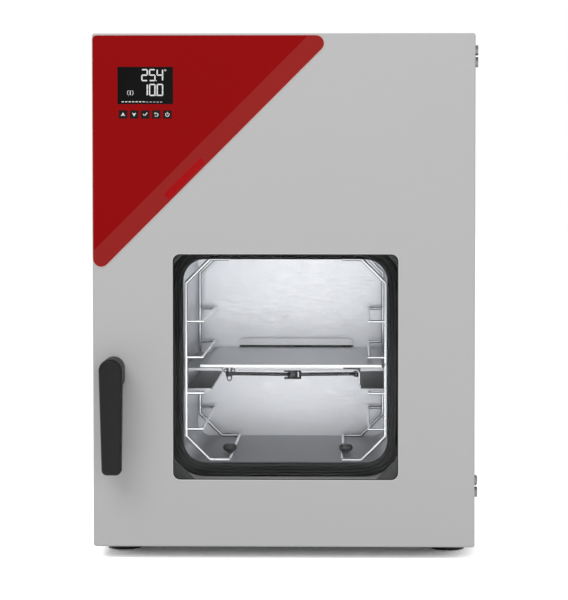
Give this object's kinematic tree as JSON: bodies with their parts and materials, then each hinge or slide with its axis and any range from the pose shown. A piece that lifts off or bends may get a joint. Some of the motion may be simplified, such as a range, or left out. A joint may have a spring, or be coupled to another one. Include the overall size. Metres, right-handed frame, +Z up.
{
  "type": "vacuum oven",
  "caption": "Bench vacuum drying oven with a hinged door, a sprung glass pane, a stainless chamber holding an expansion rack on wire frames, and clamp-flange ports at the back.",
  "frame": {"origin": "on the floor, under the middle of the bounding box", "axes": "+X to the right of someone facing the door, +Y to the back, +Z up"},
  "size_m": [0.5194, 0.588, 0.7105],
  "materials": {
    "housing_paint": "matte",
    "stainless": "satin",
    "wire_steel": "polished",
    "zinc_steel": "satin",
    "aluminium": "satin",
    "black_silicone": "matte",
    "safety_glass": "gloss",
    "red_paint": "satin",
    "red_lens": "gloss",
    "display_black": "gloss",
    "key_black": "satin",
    "handle_black": "matte",
    "black_plastic": "matte",
    "mineral_wool": "matte",
    "heater_silicone": "matte",
    "circuit_board": "satin",
    "spring_steel": "polished"
  },
  "bodies": {
    "housing": {"outer_case": "housing_paint", "front_frame": "housing_paint", "base_plate": "zinc_steel", "feet": "black_silicone", "foot_screws": "zinc_steel", "chamber": "stainless", "chamber_seal": "black_silicone", "heating_mats": "heater_silicone", "insulation": "mineral_wool", "wire_frame_left": "wire_steel", "wire_frame_right": "wire_steel", "rack_studs": "zinc_steel", "hinge_brackets": "zinc_steel", "shelf_plate": "aluminium", "right_jaw": "aluminium", "jaw_rivets": "aluminium", "link_anchor": "zinc_steel", "vacuum_port": "stainless", "measuring_port": "stainless", "centring_ring": "stainless", "blank_flange": "stainless", "port_clamp": "aluminium", "valve_block": "aluminium", "gas_nozzle": "zinc_steel", "pressure_sensor": "stainless", "electronics_tray": "zinc_steel", "power_supply": "aluminium", "control_board": "circuit_board", "temperature_sensor": "stainless", "rear_panel": "housing_paint", "rear_screws": "zinc_steel", "power_inlet": "black_plastic", "ethernet_socket": "black_plastic", "latch_box": "zinc_steel"},
    "door": {"door_shell": "housing_paint", "door_liner": "housing_paint", "pane_carrier": "housing_paint", "window_shield": "safety_glass", "corner_retainers": "housing_paint", "hinge_leaves": "zinc_steel", "hinge_screws": "zinc_steel", "handle_bushing": "black_plastic", "triangle_panel": "red_paint", "status_lens": "red_lens", "display_module": "display_black"},
    "pane": {"glass_pane": "safety_glass", "pane_springs": "spring_steel"},
    "handle": {"handle_lever": "handle_black", "handle_shaft": "zinc_steel", "latch_cam": "zinc_steel"},
    "button_up": {"key_up": "key_black"},
    "button_down": {"key_down": "key_black"},
    "button_ok": {"key_ok": "key_black"},
    "button_back": {"key_back": "key_black"},
    "button_standby": {"key_standby": "key_black"},
    "sliding_jaw": {"left_jaw": "aluminium"},
    "right_link": {"link_right": "zinc_steel", "link_clip": "black_plastic"},
    "left_link": {"link_left": "zinc_steel"},
    "rocker": {"switch_rocker": "black_plastic"}
  },
  "joints": [
    {"name": "door_hinge", "type": "hinge", "parent": "housing", "child": "door", "pos_m": [0.2463, -0.2, 0.36425], "axis": [0, 0, 1], "range_deg": [0, 110]},
    {"name": "pane_slide", "type": "slide", "parent": "door", "child": "pane", "axis": [0, -1, 0], "range_m": [0, 0.003], "stiffness_N_per_m": 3000},
    {"name": "handle_turn", "type": "hinge", "parent": "door", "child": "handle", "pos_m": [-0.231, -0.246, 0.2605], "axis": [0, -1, 0], "range_deg": [0, 90]},
    {"name": "up_press", "type": "slide", "parent": "door", "child": "button_up", "axis": [0, 1, 0], "range_m": [0, 0.0008], "stiffness_N_per_m": 900},
    {"name": "down_press", "type": "slide", "parent": "door", "child": "button_down", "axis": [0, 1, 0], "range_m": [0, 0.0008], "stiffness_N_per_m": 900},
    {"name": "ok_press", "type": "slide", "parent": "door", "child": "button_ok", "axis": [0, 1, 0], "range_m": [0, 0.0008], "stiffness_N_per_m": 900},
    {"name": "back_press", "type": "slide", "parent": "door", "child": "button_back", "axis": [0, 1, 0], "range_m": [0, 0.0008], "stiffness_N_per_m": 900},
    {"name": "standby_press", "type": "slide", "parent": "door", "child": "button_standby", "axis": [0, 1, 0], "range_m": [0, 0.0008], "stiffness_N_per_m": 900},
    {"name": "jaw_slide", "type": "slide", "parent": "housing", "child": "sliding_jaw", "axis": [1, 0, 0], "range_m": [0, 0.00787]},
    {"name": "right_link_turn", "type": "hinge", "parent": "housing", "child": "right_link", "pos_m": [0.0963, -0.10954, 0.239], "axis": [0, 0, 1], "range_deg": [0, 12]},
    {"name": "left_link_turn", "type": "hinge", "parent": "sliding_jaw", "child": "left_link", "pos_m": [-0.0837, -0.10954, 0.239], "axis": [0, 0, 1], "range_deg": [-12, 0]},
    {"name": "rocker_tilt", "type": "hinge", "parent": "housing", "child": "rocker", "pos_m": [0.1878, 0.249, 0.118], "axis": [1, 0, 0], "range_deg": [0, 8]}
  ],
  "couplings": [
    {"joint": "right_link_turn", "follows": "jaw_slide", "rad_per_m": 26.622},
    {"joint": "left_link_turn", "follows": "jaw_slide", "rad_per_m": -26.622}
  ]
}
